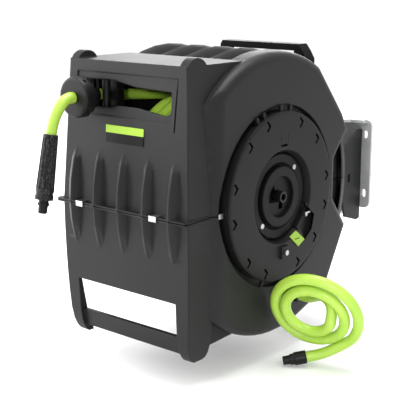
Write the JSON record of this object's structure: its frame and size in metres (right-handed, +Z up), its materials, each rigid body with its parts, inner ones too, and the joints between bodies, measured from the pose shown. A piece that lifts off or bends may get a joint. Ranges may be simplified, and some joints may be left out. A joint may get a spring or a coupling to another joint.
{
  "type": "retractable air hose reel",
  "caption": "Spring-driven retractable air hose reel in a ribbed two-part case, with a level-wind hose guide, swivel wall bracket, carry handle and slack lead-in hose.",
  "frame": {"origin": "centre of the wall plate's back face, on the wall", "axes": "+Z up, +Y into the wall, +X along the drum's axis, away from the hose end's side and towards the side with the hub and the lead-in hose; the hose comes out towards -Y"},
  "size_m": [0.3954, 0.6332, 0.4587],
  "materials": {
    "charcoal_plastic": "fine moulded texture",
    "black_plastic": "satin moulded",
    "lime_hose": "smooth, slightly glossy",
    "lime_plate": "gloss",
    "zinc_steel": "zinc plated",
    "bright_steel": "bright plated",
    "spring_steel": "blued",
    "brass": "turned",
    "black_rubber": "matt"
  },
  "bodies": {
    "bracket": {"wall_bracket": "zinc_steel", "bracket_cheek_left": "charcoal_plastic", "bracket_cheek_right": "charcoal_plastic", "swivel_pin": "bright_steel", "pin_clip": "spring_steel"},
    "reel": {"axle": "black_plastic", "axle_nut": "zinc_steel", "carry_handle": "black_plastic", "drive_belt": "black_rubber", "guide_rod": "zinc_steel", "hub_cap": "charcoal_plastic", "hub_ring": "charcoal_plastic", "hub_screw_225": "bright_steel", "hub_screw_45": "bright_steel", "inlet_block": "brass", "inlet_elbow": "black_plastic", "inlet_hose": "black_rubber", "label_plate": "lime_plate", "latch_bolt": "bright_steel", "lead_in_fitting": "black_plastic", "lead_in_hose": "lime_hose", "left_side_cover": "charcoal_plastic", "lime_tag": "lime_plate", "lower_casing": "charcoal_plastic", "lug_bolt_left": "zinc_steel", "lug_bolt_right": "zinc_steel", "mainspring": "spring_steel", "pawl": "zinc_steel", "pawl_pin": "bright_steel", "rear_seam_bolt": "bright_steel", "right_side_cover": "charcoal_plastic", "screw_bush_left": "brass", "screw_bush_right": "brass", "seam_clip_front_left": "bright_steel", "seam_clip_front_right": "bright_steel", "seam_clip_side": "bright_steel", "swivel_lug": "charcoal_plastic", "upper_casing": "charcoal_plastic", "valve_stem": "bright_steel"},
    "drum": {"drum_barrel": "black_plastic", "drum_flange_right": "black_plastic", "drum_flange_left": "black_plastic", "hose_inner_layers": "lime_hose", "hose_winding": "lime_hose", "ratchet_wheel": "zinc_steel"},
    "screw": {"levelwind_screw": "zinc_steel", "screw_pulley": "black_plastic"},
    "carriage": {"guide_carriage": "black_plastic", "guide_roller_pin_left": "bright_steel", "guide_roller_pin_right": "bright_steel", "hose_stop_upper": "black_plastic", "hose_stop_lower": "black_plastic", "stop_bolt_left": "bright_steel", "stop_bolt_right": "bright_steel", "hose_strand": "lime_hose", "hose_tail": "lime_hose", "bend_restrictor": "black_rubber", "male_fitting": "black_plastic"},
    "roller_left": {"guide_roller_left": "black_plastic"},
    "roller_right": {"guide_roller_right": "black_plastic"}
  },
  "joints": [
    {"name": "reel_swivel", "type": "hinge", "parent": "bracket", "child": "reel", "pos_m": [0, -0.042, 0], "axis": [0, 0, 1], "range_deg": [-38, 38]},
    {"name": "drum_spin", "type": "hinge", "parent": "reel", "child": "drum", "pos_m": [0, -0.343, 0.009], "axis": [1, 0, 0], "range_deg": [0, 2520], "stiffness_Nm_per_rad": 0.01, "springref_deg": -286.48},
    {"name": "screw_spin", "type": "hinge", "parent": "reel", "child": "screw", "pos_m": [0, -0.483, 0.115], "axis": [1, 0, 0], "range_deg": [0, 2520]},
    {"name": "carriage_slide", "type": "slide", "parent": "reel", "child": "carriage", "axis": [1, 0, 0], "range_m": [0, 0.1275], "deforming": ["hose_strand"]},
    {"name": "roller_left_spin", "type": "hinge", "parent": "carriage", "child": "roller_left", "pos_m": [-0.0794, -0.5115, 0.158], "axis": [0, 0, 1], "continuous": true},
    {"name": "roller_right_spin", "type": "hinge", "parent": "carriage", "child": "roller_right", "pos_m": [-0.0506, -0.5115, 0.158], "axis": [0, 0, 1], "continuous": true}
  ],
  "couplings": [
    {"joint": "screw_spin", "follows": "drum_spin", "ratio": 1},
    {"joint": "carriage_slide", "follows": "drum_spin", "m_per_rad": 0.0028966}
  ]
}
